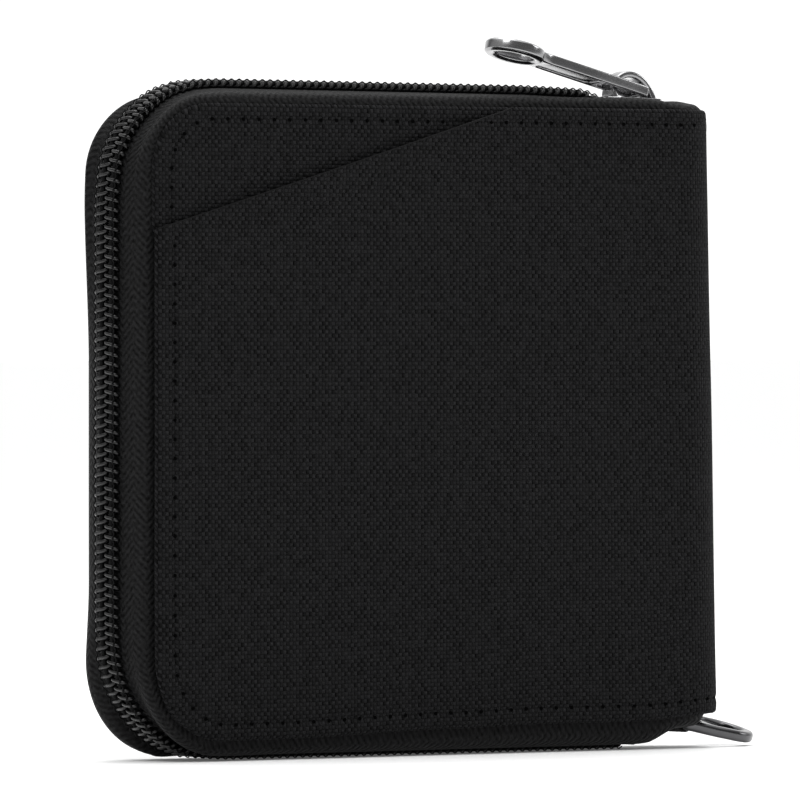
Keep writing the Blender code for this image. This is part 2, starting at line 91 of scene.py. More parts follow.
# ---- Materials ----
class Shader:
    """One material: each call adds a node and returns its output."""

    def __init__(self, name, roughness, metallic=0.0):
        self.material = bpy.data.materials.new(name)
        self.material.use_nodes = True
        self.tree = self.material.node_tree
        self.surface = self.tree.nodes["Principled BSDF"]
        self.set("Roughness", roughness)
        self.set("Metallic", metallic)

    def set(self, socket, value):
        self.surface.inputs[socket].default_value = value

    def link(self, output, socket):
        self.tree.links.new(output, self.surface.inputs[socket])

    def put(self, node, socket, value):
        if isinstance(value, bpy.types.NodeSocket):
            self.tree.links.new(value, node.inputs[socket])
        else:
            node.inputs[socket].default_value = value

    def math(self, operation, a, b=0.0):
        node = self.tree.nodes.new("ShaderNodeMath")
        node.operation = operation
        self.put(node, 0, a)
        self.put(node, 1, b)
        return node.outputs[0]

    def plus(self, a, b):
        return self.math("ADD", a, b)

    def minus(self, a, b):
        return self.math("SUBTRACT", a, b)

    def times(self, a, b):
        return self.math("MULTIPLY", a, b)

    def map_axes(self):
        """The piece's own map, in millimetres: across and along its cloth."""
        node = self.tree.nodes.new("ShaderNodeUVMap")
        node.uv_map = "weave"
        split = self.tree.nodes.new("ShaderNodeSeparateXYZ")
        self.tree.links.new(node.outputs[0], split.inputs[0])
        return split.outputs[0], split.outputs[1]

    def vector(self, x, y, z=0.0):
        node = self.tree.nodes.new("ShaderNodeCombineXYZ")
        for i, value in enumerate((x, y, z)):
            self.put(node, i, value)
        return node.outputs[0]

    def object_place(self, scale):
        coordinates = self.tree.nodes.new("ShaderNodeTexCoord")
        node = self.tree.nodes.new("ShaderNodeVectorMath")
        node.operation = "SCALE"
        self.tree.links.new(coordinates.outputs["Object"], node.inputs[0])
        node.inputs["Scale"].default_value = scale
        return node.outputs[0]

    def noise(self, place, scale, detail=2.0):
        node = self.tree.nodes.new("ShaderNodeTexNoise")
        self.tree.links.new(place, node.inputs["Vector"])
        node.inputs["Scale"].default_value = scale
        node.inputs["Detail"].default_value = detail
        return node.outputs[0]

    def speckle(self, place):
        node = self.tree.nodes.new("ShaderNodeTexWhiteNoise")
        self.tree.links.new(place, node.inputs["Vector"])
        return node.outputs[0]

    def between(self, factor, low, high):
        """A number that runs from low to high as factor runs from 0 to 1."""
        node = self.tree.nodes.new("ShaderNodeMapRange")
        self.put(node, 0, factor)
        node.inputs["To Min"].default_value = low
        node.inputs["To Max"].default_value = high
        return node.outputs[0]

    def colour(self, factor, dark, light, span=(0.0, 1.0)):
        node = self.tree.nodes.new("ShaderNodeValToRGB")
        self.put(node, 0, factor)
        node.color_ramp.elements[0].position, node.color_ramp.elements[1].position = span
        node.color_ramp.elements[0].color = (*dark, 1.0)
        node.color_ramp.elements[1].color = (*light, 1.0)
        self.link(node.outputs[0], "Base Color")

    def bump(self, height, distance, strength=1.0):
        node = self.tree.nodes.new("ShaderNodeBump")
        self.tree.links.new(height, node.inputs["Height"])
        node.inputs["Distance"].default_value = distance
        node.inputs["Strength"].default_value = strength
        self.link(node.outputs[0], "Normal")


def scaled(colour, factor):
    return tuple(channel * factor for channel in colour)


def woven(name, pitch, colour, roughness, relief, contrast, sheen):
    """Plain weave: each yarn passes over one crossing yarn and under the next."""
    s = Shader(name, roughness)
    across, along = s.map_axes()
    u = s.math("DIVIDE", across, pitch)
    v = s.math("DIVIDE", along, pitch)
    column, row = s.math("FLOOR", u), s.math("FLOOR", v)
    in_u = s.minus(s.times(s.math("FRACT", u), 2.0), 1.0)
    in_v = s.minus(s.times(s.math("FRACT", v), 2.0), 1.0)
    round_u = s.minus(1.0, s.times(in_u, in_u))
    round_v = s.minus(1.0, s.times(in_v, in_v))
    crown_u = s.times(s.math("POWER", round_u, 0.6), s.math("POWER", round_v, 0.3))
    crown_v = s.times(s.math("POWER", round_v, 0.6), s.math("POWER", round_u, 0.3))
    odd = s.math("FLOORED_MODULO", s.plus(column, row), 2.0)
    even = s.minus(1.0, odd)
    height = s.plus(s.times(crown_u, odd), s.times(crown_v, even))
    cell = s.speckle(s.vector(column, row, odd))
    # Painted shade and light: hollows painted darker, weft-up cells lighter than warp-up ones.
    yarn_shade_and_light = s.plus(s.times(height, 0.30), s.times(even, 0.38))
    # The per-cell speckle is the yarns' own random tone.
    tone_and_painted_light = s.plus(yarn_shade_and_light, s.times(cell, 0.32))
    s.colour(tone_and_painted_light, scaled(colour, 1 - contrast), scaled(colour, 1 + 1.4 * contrast), (0.15, 0.85))
    fibres = s.noise(s.vector(across, along), 9.0, 3.0)
    s.bump(s.plus(height, s.times(fibres, 0.35)), relief)
    s.set("Sheen Weight", sheen)
    s.set("Sheen Roughness", 0.45)
    s.set("Specular IOR Level", 0.05)
    return s.material


def ribbed(name, colour, roughness, rib, swing, relief, sheen):
    """Herringbone tape: slanting ribs that turn back at each swing across the tape."""
    s = Shader(name, roughness)
    across, along = s.map_axes()
    slant = s.math("PINGPONG", across, swing)
    phase = s.times(s.plus(along, slant), 2 * math.pi / rib)
    height = s.times(s.plus(s.math("SINE", phase), 1.0), 0.5)
    fibres = s.noise(s.vector(across, along), 1.5, 4.0)
    # Painted shade: the rib hollows are painted darker; the fibre noise is random tone.
    total = s.plus(s.times(height, 0.22), s.times(fibres, 0.9))
    s.colour(total, scaled(colour, 0.05), scaled(colour, 2.2), (0.35, 0.75))
    s.bump(total, relief)
    s.set("Sheen Weight", sheen)
    s.set("Sheen Roughness", 0.4)
    s.set("Specular IOR Level", 0.08)
    return s.material


def filament(name, colour, roughness, gloss=0.5):
    """Smooth moulded or drawn nylon with faint handling marks."""
    s = Shader(name, roughness)
    s.set("Specular IOR Level", gloss)
    marks = s.noise(s.object_place(900.0), 1.0, 3.0)
    s.colour(marks, scaled(colour, 0.7), scaled(colour, 1.4))
    s.link(s.between(marks, roughness - 0.06, roughness + 0.10), "Roughness")
    return s.material


def cast_metal(name, colour, roughness):
    """Tumbled and plated casting: fine pitting, and slow changes of gloss."""
    s = Shader(name, roughness, 1.0)
    slow = s.noise(s.object_place(160.0), 1.0, 2.0)
    fine = s.noise(s.object_place(2600.0), 1.0, 3.0)
    s.colour(slow, scaled(colour, 0.85), scaled(colour, 1.15))
    s.link(s.between(slow, roughness - 0.05, roughness + 0.08), "Roughness")
    s.bump(s.plus(fine, s.times(slow, 4.0)), 0.000004)
    return s.material


OUTER = woven("coarse_woven_polyester", 0.67, (0.0074, 0.0074, 0.0078), 0.8, 0.00045, 1.0, 0.012)
LINER = woven("lining_weave", 0.30, (0.016, 0.016, 0.018), 0.6, 0.00005, 0.35, 0.08)
TAPE = ribbed("herringbone_tape", (0.0060, 0.0060, 0.0062), 0.65, 1.3, 2.6, 0.00030, 0.03)
WEBBING = ribbed("narrow_webbing", (0.010, 0.010, 0.010), 0.8, 0.7, 0.7, 0.0001, 0.05)
STIFFENER = filament("stiffening_board", (0.25, 0.24, 0.22), 0.7)
COIL = filament("coil_nylon", (0.0018, 0.0018, 0.0020), 0.30, 0.42)
SEWING = filament("sewing_thread", (0.0030, 0.0030, 0.0032), 0.7, 0.10)
FOLD = filament("folded_polyester", (0.0085, 0.0085, 0.0088), 0.7, 0.06)
# Painted shade for the stitch holes.
HOLE_SHADE = filament("painted_hole_shade", (0.0012, 0.0012, 0.0012), 0.9, 0.01)
METAL = cast_metal("gunmetal_plating", (0.34, 0.34, 0.345), 0.17)
# The ring's copy of the gunmetal, darker by painted shade.
SHADED_METAL = cast_metal("gunmetal_painted_shade", (0.10, 0.10, 0.103), 0.22)


# ---- Making pieces ----
def mesh_of(bm, name):
    mesh = bpy.data.meshes.new(name)
    bm.to_mesh(mesh)
    bm.free()
    return mesh


def new_object(name, mesh, material):
    obj = bpy.data.objects.new(name, mesh)
    bpy.context.scene.collection.objects.link(obj)
    mesh.materials.clear()
    mesh.materials.append(material)
    return obj


def applied(obj):
    """The object with what its modifiers made as its own mesh."""
    bpy.context.view_layer.update()
    graph = bpy.context.evaluated_depsgraph_get()
    mesh = bpy.data.meshes.new_from_object(
        obj.evaluated_get(graph), preserve_all_data_layers=True, depsgraph=graph
    )
    obj.modifiers.clear()
    obj.data = mesh
    return obj


def finish_piece(obj, slot, bodies, *nodes, sharp=50.0):
    """Shades a piece and hides the CAD nodes that it stands for; slot is not used. A piece of one body
    is put on that body; one of two bodies is put on neither.
    """
    obj.data.shade_smooth()
    obj.data.set_sharp_from_angle(angle=math.radians(sharp))
    if nodes:
        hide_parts(*nodes)
    if isinstance(bodies, str):
        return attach(obj, bodies)
    start = Vector((HINGE_X - FOLD_HALF, 0, 0))
    end = Vector((HINGE_X + FOLD_HALF, 0, 0))
    if bodies[0] == "spine":
        start, end = end, start
    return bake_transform(obj)


def bodies_of(side):
    """The two bodies that a cloth over one of the hinge lines bends between."""
    return ("back_cover", "spine") if side > 0 else ("spine", "front_cover")


def cover_of(side):
    return "back_cover" if side > 0 else "front_cover"


def name_of(side):
    return "back" if side > 0 else "front"


def thicken(obj, thickness):
    shell = obj.modifiers.new("thickness", "SOLIDIFY")
    shell.thickness = thickness
    shell.offset = -1.0
    return applied(obj)


def add_tube(bm, points, radius, sides=6):
    """A capped tube through points, on frames that don't twist."""
    normal = None
    rings = []
    for i, point in enumerate(points):
        along = points[min(i + 1, len(points) - 1)] - points[max(i - 1, 0)]
        along.normalize()
        if normal is None:
            normal = along.orthogonal().normalized()
        normal = (normal - along * normal.dot(along)).normalized()
        other = along.cross(normal)
        ring = []
        for k in range(sides):
            angle = 2 * math.pi * k / sides
            offset = normal * math.cos(angle) + other * math.sin(angle)
            ring.append(bm.verts.new(point + offset * radius))
        rings.append(ring)
    for ring, after in zip(rings, rings[1:]):
        for k in range(sides):
            j = (k + 1) % sides
            bm.faces.new((ring[k], ring[j], after[j], after[k]))
    bm.faces.new(list(reversed(rings[0])))
    bm.faces.new(rings[-1])


def tube_object(name, paths, radius, material, sides=6):
    bm = bmesh.new()
    for path in paths:
        add_tube(bm, path, radius, sides)
    return new_object(name, mesh_of(bm, name), material)


def loft(name, rows, closed=False):
    """A skin through closed rows of points. It has an end cap at each end, or closes on itself."""
    bm = bmesh.new()
    grid = [[bm.verts.new(point) for point in row] for row in rows]
    for row, after in zip(grid, grid[1:] + (grid[:1] if closed else [])):
        for k in range(len(row)):
            j = (k + 1) % len(row)
            bm.faces.new((row[k], row[j], after[j], after[k]))
    if not closed:
        bm.faces.new(grid[0])
        bm.faces.new(grid[-1])
    bmesh.ops.remove_doubles(bm, verts=bm.verts, dist=1e-7)
    bmesh.ops.recalc_face_normals(bm, faces=bm.faces)
    return mesh_of(bm, name)


def grid_mesh(name, rows, map_rows=None):
    """A sheet through rows of points, with its map in millimetres."""
    bm = bmesh.new()
    layer = bm.loops.layers.uv.new("weave")
    grid = [[bm.verts.new(point) for point in row] for row in rows]
    places = {}
    for row, maps in zip(grid, map_rows or rows):
        for vertex, place in zip(row, maps):
            places[vertex] = (place[0] / MM, place[-1] / MM)
    for row, after in zip(grid, grid[1:]):
        for i in range(len(row) - 1):
            face = bm.faces.new((row[i], row[i + 1], after[i + 1], after[i]))
            for loop in face.loops:
                loop[layer].uv = places[loop.vert]
    bm.normal_update()
    return mesh_of(bm, name)


def face_out(mesh, direction):
    """Turns an open sheet's faces round if, on the whole, they look away from a direction."""
    total = sum((Vector(f.normal) * f.area for f in mesh.polygons), Vector())
    if total.dot(direction) < 0:
        mesh.flip_normals()


# ---- The covers' flat pattern, and how it lies ----
# How much the covers' lower edge is lifted, along them.
LIFT_KEYS = (
    (-0.064, -0.0009),
    (-0.039, -0.0006),
    (-0.001, 0.0004),
    (0.017, 0.0008),
    (0.036, 0.0008),
    (0.054, 0.0018),
)
LIFT_HEIGHT = 0.035  # the lift fades out this far up
LEAN = 0.0024  # the spine leans out this much from top to bottom
LEAN_REACH = 0.030
LEAN_LEVEL = 0.58  # the share of the height below the level where it doesn't lean
RIPPLE = 0.00012
RIPPLE_LENGTH = 0.018
SEED_SHIFT = 7.3  # gives the two sides different ripples
PLAIN_INSET = 0.0054  # the cloth inside this is a plain grid, with rings round it
PLAIN_ROWS = 44
STITCH_INSET = 0.0027  # the stitch line runs this far inside the edge
ZIPPED_INSET = 0.0010  # and this much further inside on the zipped side


def bottom_lift(a):
    for (start, low), (end, high) in zip(LIFT_KEYS, LIFT_KEYS[1:]):
        if a <= end:
            return lerp(low, high, smooth((a - start) / (end - start)))
    return LIFT_KEYS[-1][1]


def lay(a, z, depth, side):
    """A point of the flat pattern in place: a runs along a cover and then round the spine."""
    low = smooth(1 - (z - BOTTOM) / LIFT_HEIGHT)
    ripple = noise.noise(Vector((a, side * SEED_SHIFT, z)) / RIPPLE_LENGTH) * RIPPLE
    radius = HALF_DEPTH - depth + ripple
    over = a - HINGE_X
    x, y = a, radius
    if over > 0:
        angle = over / HALF_DEPTH
        x = HINGE_X + radius * math.sin(angle)
        y = radius * math.cos(angle)
    level = LEAN_LEVEL - (z - BOTTOM) / (TOP - BOTTOM)
    x += LEAN * level * smooth((a - HINGE_X + LEAN_REACH) / LEAN_REACH)
    return Vector((x, side * y, z + bottom_lift(a) * low))


def pattern_columns(inset, corner_steps=10, straight=48, spine_steps=14):
    """Matching points on the lower and upper edges, from the zipped edge to the spine's middle.

    The first ones run round the two corners together, whose radii differ."""
    columns = []
    for i in range(corner_steps):
        angle = math.pi / 2 * i / corner_steps
        low, high = BOTTOM_CORNER - inset, TOP_CORNER - inset
        across, up = math.cos(angle), math.sin(angle)
        columns.append((
            (LEFT + BOTTOM_CORNER - low * across, BOTTOM + BOTTOM_CORNER - low * up),
            (LEFT + TOP_CORNER - high * across, TOP - TOP_CORNER + high * up),
        ))
    for i in range(straight + 1):
        t = i / straight
        columns.append((
            (lerp(LEFT + BOTTOM_CORNER, HINGE_X, t), BOTTOM + inset),
            (lerp(LEFT + TOP_CORNER, HINGE_X, t), TOP - inset),
        ))
    for i in range(1, spine_steps + 1):
        a = HINGE_X + SPINE_ARC * i / spine_steps
        columns.append(((a, BOTTOM + inset), (a, TOP - inset)))
    return columns


def rim_of(columns):
    """Points of the pattern's free edge with their outward directions: the lower edge from the
    spine, the zipped edge, then the upper edge back to the spine."""
    (low_a, low_z), (high_a, high_z) = columns[0]
    places = [Vector(low) for low, _ in reversed(columns)]
    for j in range(1, PLAIN_ROWS):
        t = j / PLAIN_ROWS
        places.append(Vector((lerp(low_a, high_a, t), lerp(low_z, high_z, t))))
    places += [Vector(high) for _, high in columns]
    normals = []
    for i in range(len(places)):
        along = places[min(i + 1, len(places) - 1)] - places[max(i - 1, 0)]
        normals.append(Vector((-along.y, along.x)).normalized())
    return places, normals


def stitch_inset(normal):
    return STITCH_INSET + ZIPPED_INSET * abs(normal.x)


# Rings from the flat part out to the turned edge: own inset, share of the stitch line's, depth.
EDGE_RINGS = (
    (0.0009, 1.0, 0.0),
    (0.0004, 1.0, 0.00006),
    (0.0, 1.0, 0.00020),
    (-0.0004, 1.0, 0.00006),
    (-0.0009, 1.0, 0.0),
    (0.0010, 0.0, 0.00004),
    (0.0005, 0.0, 0.00012),
    (0.0002, 0.0, 0.0003),
    (0.00004, 0.0, 0.0006),
    (0.0002, 0.0, 0.00095),
    (0.0007, 0.0, 0.00115),
    (0.0016, 0.0, 0.0012),
)
# The linings' edge turns outwards instead, to meet the zip tape.
LINING_RINGS = (
    (0.0030, 0.0, 0.0),
    (0.0018, 0.0, -0.0001),
    (0.0010, 0.0, -0.0003),
    (0.0006, 0.0, 0.0),
)


def cut(bm, point, normal):
    """Keeps what lies behind a plane."""
    everything = list(bm.verts) + list(bm.edges) + list(bm.faces)
    bmesh.ops.bisect_plane(
        bm, geom=everything, dist=1e-7, plane_co=point, plane_no=normal, clear_outer=True
    )


def pattern_sheet(name, side, depth, thickness, material, rings=EDGE_RINGS, cuts=(), shift=None):
    """A cloth cut to the covers' pattern and laid in place.

    Its mesh starts flat as (a, depth, z); shift may then move a point there before it is laid."""
    bm = bmesh.new()
    columns = pattern_columns(PLAIN_INSET)
    grid = []
    for low, high in columns:
        column = []
        for j in range(PLAIN_ROWS + 1):
            t = j / PLAIN_ROWS
            column.append(bm.verts.new((lerp(low[0], high[0], t), 0.0, lerp(low[1], high[1], t))))
        grid.append(column)
    for column, after in zip(grid, grid[1:]):
        for j in range(PLAIN_ROWS):
            bm.faces.new((column[j], after[j], after[j + 1], column[j + 1]))
    before = [column[0] for column in reversed(grid)] + grid[0][1:-1]
    before += [column[-1] for column in grid]
    places, normals = rim_of(columns)
    for own, share, ring_depth in rings:
        ring = []
        for place, normal in zip(places, normals):
            spot = place + normal * (PLAIN_INSET - own - share * stitch_inset(normal))
            ring.append(bm.verts.new((spot.x, ring_depth, spot.y)))
        for i in range(len(ring) - 1):
            bm.faces.new((before[i], before[i + 1], ring[i + 1], ring[i]))
        before = ring
    for point, normal in cuts:
        cut(bm, point, normal)
    layer = bm.loops.layers.uv.new("weave")
    for face in bm.faces:
        for loop in face.loops:
            a, fold, z = loop.vert.co
            loop[layer].uv = (a / MM, (z - fold) / MM)
    for vertex in bm.verts:
        a, fold, z = shift(*vertex.co) if shift else vertex.co
        vertex.co = lay(a, z, depth + fold, side)
    mesh = mesh_of(bm, name)
    face_out(mesh, Vector((0, side, 0)))
    return thicken(new_object(name, mesh, material), thickness)


# ---- The slip pocket ----
MOUTH_START = Vector((LEFT, 0, TOP - MOUTH_DROP))
MOUTH_ALONG = Vector((MOUTH_RUN, 0, MOUTH_DROP))
MOUTH_UP = Vector((-MOUTH_DROP, 0, MOUTH_RUN)).normalized()
MOUTH_GAPE = 0.00050
GAPE_REACH = 0.008  # the gape fades out this far below the mouth
MOUTH_ROLL = 0.00020  # radius of the mouth's rolled edge
ROLL_DEPTH = 0.00022
ROLL_SPAN = (0.008, 0.992)  # the part of the mouth's length that it covers
ROLL_STEPS = 60
ROLL_SINK = 0.0004  # its two ends sink this much into the cloth
POCKET_DEPTH = 0.0009  # the panel under the pocket lies this much deeper
PANEL_END = HINGE_X - 0.006  # that panel's edge, short of the hinge line
UNDER_TUCK = 0.0009
TUCK_REACH = 0.0015
TUCK_EDGE = 0.004
CLOTH = 0.0006
BACK_CLOTH = 0.0007


def mouth_side(a, z):
    """How far a point of the pattern is above the pocket's mouth line, and how far along it."""
    offset = Vector((a, 0, z)) - MOUTH_START
    return offset.dot(MOUTH_UP), offset.dot(MOUTH_ALONG) / MOUTH_ALONG.length_squared


def gape(a, fold, z):
    """The pocket stands off a little in the middle of its mouth."""
    above, along = mouth_side(a, z)
    open_share = math.sin(math.pi * min(1.0, max(0.0, along)))
    return a, fold - MOUTH_GAPE * open_share * smooth(1 + above / GAPE_REACH), z


def tuck(a, fold, z):
    """Under the pocket, the lower panel's edge draws back from the pocket's turned edge."""
    above, _ = mouth_side(a, z)
    inwards = UNDER_TUCK * smooth(-above / TUCK_REACH)
    near_left = smooth(1 - (a - LEFT) / TUCK_EDGE)
    near_top = smooth(1 - (TOP - z) / TUCK_EDGE)
    near_low = smooth(1 - (z - BOTTOM) / TUCK_EDGE)
    return a + inwards * near_left, fold, z + inwards * (near_low - near_top)


def make_mouth_fold():
    """The rolled edge of the slip pocket's mouth."""
    path = []
    for i in range(ROLL_STEPS + 1):
        spot = MOUTH_START + MOUTH_ALONG * lerp(*ROLL_SPAN, i / ROLL_STEPS)
        a, fold, z = gape(spot.x, ROLL_DEPTH, spot.z)
        fold += ROLL_SINK * smooth(1 - min(i, ROLL_STEPS - i) / 2)
        path.append(lay(a, z, fold, -1))
    roll = tube_object("pocket_mouth_fold", [path], MOUTH_ROLL, FOLD, 8)
    finish_piece(roll, "outer_fabric", bodies_of(-1))


def make_covers():
    below_mouth = [(MOUTH_START, MOUTH_UP)]
    pocket = pattern_sheet(
        "front_pocket_cloth", -1, 0.0, CLOTH, OUTER, cuts=below_mouth, shift=gape
    )
    finish_piece(pocket, "outer_fabric", bodies_of(-1), "front_pocket_panel")
    on_cover = [(Vector((PANEL_END, 0, 0)), Vector((1, 0, 0)))]
    under = pattern_sheet(
        "front_panel_cloth", -1, POCKET_DEPTH, CLOTH, OUTER, cuts=on_cover, shift=tuck
    )
    finish_piece(under, "outer_fabric", "front_cover", "front_outer_panel")
    back = pattern_sheet("back_panel_cloth", 1, 0.0, BACK_CLOTH, OUTER)
    finish_piece(back, "outer_fabric", bodies_of(1), "back_outer_panel", "spine_panel")


# ---- Stitching ----
STITCH_PITCH = 0.0032
STITCH_END = HINGE_X + 0.007  # the seam runs this far onto the spine
THREAD = 0.00017
THREAD_DEPTH = 0.00046
# How deep a stitch's thread lies, by the share of its length.
STITCH_SHAPE = (
    (0.06, 0.00035),
    (0.14, 0.00005),
    (0.30, -0.00012),
    (0.50, -0.00015),
    (0.70, -0.00012),
    (0.86, 0.00005),
    (0.94, 0.00035),
)
# Each hole gets a thin dark disc of painted shade, for the shade in its dimple.
HOLE_SIZE = (0.00036, 0.00030)
HOLE_SIDES = 8
HOLE_RISE = 0.00048  # a hole's rim lies this much nearer the surface than the thread
HOLE_CROWN = 0.00002
HOLE_THICKNESS = 0.00005


def along_path(points, pitch):
    """Places a pitch apart along a line of points."""
    found = []
    travelled, target = 0.0, 0.0
    for start, end in zip(points, points[1:]):
        length = (end - start).length
        while length > 0 and target <= travelled + length:
            found.append(start.lerp(end, (target - travelled) / length))
            target += pitch
        travelled += length
    return found


def stitch_line():
    """The line of stitches on the flat pattern, from the lower edge's spine end round to the top's."""
    places, normals = rim_of(pattern_columns(PLAIN_INSET))
    line = [p + n * (PLAIN_INSET - stitch_inset(n)) for p, n in zip(places, normals)]
    return [p for p in line if p.x < STITCH_END]


def make_stitches(side):
    """Thread lying between holes a pitch apart, sunk at both ends of each stitch, and dark discs of
    painted shade in the holes.
    """
    threads, holes = [], []
    line = along_path(stitch_line(), STITCH_PITCH)
    for start, end in zip(line, line[1:]):
        base = THREAD_DEPTH
        above = [mouth_side(*point)[0] > 0 for point in (start, end)]
        if side < 0 and above[0] != above[1]:
            continue
        if side < 0 and above[0]:
            base += POCKET_DEPTH
        path = []
        for t, sink in STITCH_SHAPE:
            spot = start.lerp(end, t)
            path.append(lay(spot.x, spot.y, base + sink, side))
        threads.append(path)
        holes.append((start, base))
    name = name_of(side)
    seam = tube_object(f"{name}_stitches", threads, THREAD, SEWING)
    finish_piece(seam, "outer_fabric", bodies_of(side))
    # Dark discs of painted shade in the stitch holes.
    bm = bmesh.new()
    for place, base in holes:
        ring = []
        for k in range(HOLE_SIDES):
            angle = 2 * math.pi * k / HOLE_SIDES
            u, v = HOLE_SIZE[0] * math.cos(angle), HOLE_SIZE[1] * math.sin(angle)
            ring.append(bm.verts.new(lay(place.x + u, place.y + v, base - HOLE_RISE, side)))
        middle = bm.verts.new(lay(place.x, place.y, base - HOLE_RISE - HOLE_CROWN, side))
        for k in range(HOLE_SIDES):
            bm.faces.new((ring[k], ring[(k + 1) % HOLE_SIDES], middle))
    mesh = mesh_of(bm, f"{name}_painted_hole_shades")
    face_out(mesh, Vector((0, side, 0)))
    hole_shades = thicken(new_object(f"{name}_painted_hole_shades", mesh, HOLE_SHADE), HOLE_THICKNESS)
    finish_piece(hole_shades, "outer_fabric", bodies_of(side))


# ---- Round the zipped sides ----
CHAIN_LINE = 0.0032  # rise of the line along which the coil's turns are spaced
TOP_RUN = HINGE_X - LEFT - TOP_CORNER
SIDE_RUN = TOP - TOP_CORNER - BOTTOM - BOTTOM_CORNER
BOTTOM_RUN = HINGE_X - LEFT - BOTTOM_CORNER
TOP_ARC = (TOP_CORNER + CHAIN_LINE) * math.pi / 2
BOTTOM_ARC = (BOTTOM_CORNER + CHAIN_LINE) * math.pi / 2
RIM_LENGTH = TOP_RUN + TOP_ARC + SIDE_RUN + BOTTOM_ARC + BOTTOM_RUN
BULGE = 0.0021  # the top run stands this much above a straight line before it meets the slider
BULGE_IN = (-0.060, 0.018)  # it grows between these x
BULGE_OUT = (0.0295, 0.0385)  # and ends between these
UPPER_SAG = 0.0017
LOWER_SAG = 0.0013
SAG_REACH = 0.007  # the sag goes on this far past a corner's arc
LOWER_FULLNESS = 0.0012  # the tapes' shoulders stand out more under the pouch
CORNER_FULLNESS = (0.0004, 0.0015)  # and in the lower corner, on the front and on the back
CORNER_REACH = 0.012
BENEATH_END = (HINGE_X + 0.003, 0.012)  # where the fullness under the pouch ends, and how fast
BACK_FULLNESS = 0.0007  # the back's tape stands out more, round this height
FULL_HEIGHT = 0.095
FULL_REACH = 0.030


def rim(s):
    """A place (x, z) on the covers' edge and the way out of it, s along the chain from the
    upper hinge line."""
    if s < TOP_RUN:
        return Vector((HINGE_X - s, TOP)), Vector((0, 1))
    s -= TOP_RUN
    if s < TOP_ARC:
        angle = math.pi / 2 * (1 + s / TOP_ARC)
        out = Vector((math.cos(angle), math.sin(angle)))
        return Vector((LEFT + TOP_CORNER, TOP - TOP_CORNER)) + out * TOP_CORNER, out
    s -= TOP_ARC
    if s < SIDE_RUN:
        return Vector((LEFT, TOP - TOP_CORNER - s)), Vector((-1, 0))
    s -= SIDE_RUN
    if s < BOTTOM_ARC:
        angle = math.pi / 2 * (2 + s / BOTTOM_ARC)
        out = Vector((math.cos(angle), math.sin(angle)))
        return Vector((LEFT + BOTTOM_CORNER, BOTTOM + BOTTOM_CORNER)) + out * BOTTOM_CORNER, out
    return Vector((LEFT + BOTTOM_CORNER + s - BOTTOM_ARC, BOTTOM)), Vector((0, -1))


def drop(s):
    """How far the chain sinks below the covers' edge line, on the top run only."""
    x = HINGE_X - s
    if s >= TOP_RUN:
        return 0.0
    rise_in = min(1.0, max(0.0, (x - BULGE_IN[0]) / (BULGE_IN[1] - BULGE_IN[0])))
    rise_out = smooth((BULGE_OUT[1] - x) / (BULGE_OUT[1] - BULGE_OUT[0]))
    return (TOP_RUN - s) * DROP_SLOPE - BULGE * rise_in * rise_out


def sag(s):
    """The chain cuts the upper corner a little, and fills the lower one."""
    upper = smooth(1 - abs(s - TOP_RUN - TOP_ARC / 2) / (TOP_ARC / 2 + SAG_REACH))
    lower_middle = RIM_LENGTH - BOTTOM_RUN - BOTTOM_ARC / 2
    lower = smooth(1 - abs(s - lower_middle) / (BOTTOM_ARC / 2 + SAG_REACH))
    return UPPER_SAG * upper + LOWER_SAG * lower


def chain_point(s, rise, y):
    place, out = rim(s)
    place = place + out * (rise - sag(s))
    return Vector((place.x, y, place.y - drop(s)))


# Tape from its sewn margin to under the coil: distance from the middle, rise past the covers'
# edge, share of the chain's sag in the corners, share of the lower edge's lift.
TAPE_PROFILE = (
    (0.0078, -0.0045, 0.0, 1.0),
    (0.0079, -0.0022, 0.0, 1.0),
    (0.0080, -0.0010, 0.0, 1.0),
    (0.0081, 0.0001, 0.1, 0.9),
    (0.0080, 0.0009, 0.2, 0.6),
    (0.0075, 0.0015, 0.3, 0.4),
    (0.0067, 0.00185, 0.5, 0.2),
    (0.0058, 0.0020, 0.8, 0.0),
    (0.0050, 0.0021, 1.0, 0.0),
    (0.0042, 0.00225, 1.0, 0.0),
    (0.0034, 0.00235, 1.0, 0.0),
    (0.0023, 0.00240, 1.0, 0.0),
    (0.0009, 0.00240, 1.0, 0.0),
)
TAPE_THICKNESS = 0.0005
UPPER_END = 0.040  # past this the tapes' shoulders sink towards the spine's upper end
UPPER_END_SINK = 0.0009
UPPER_END_REACH = 0.010
TAIL_REACH = 0.0088
TAIL_SINK = 0.0024
TAIL_SINK_START = 0.004
TAIL_CLOSE = 0.003  # the two tapes close over the spine within this past a hinge line
TAPE_NARROWING = 0.0013
TAPE_STEP = 0.0012
TAIL_STEPS = 8


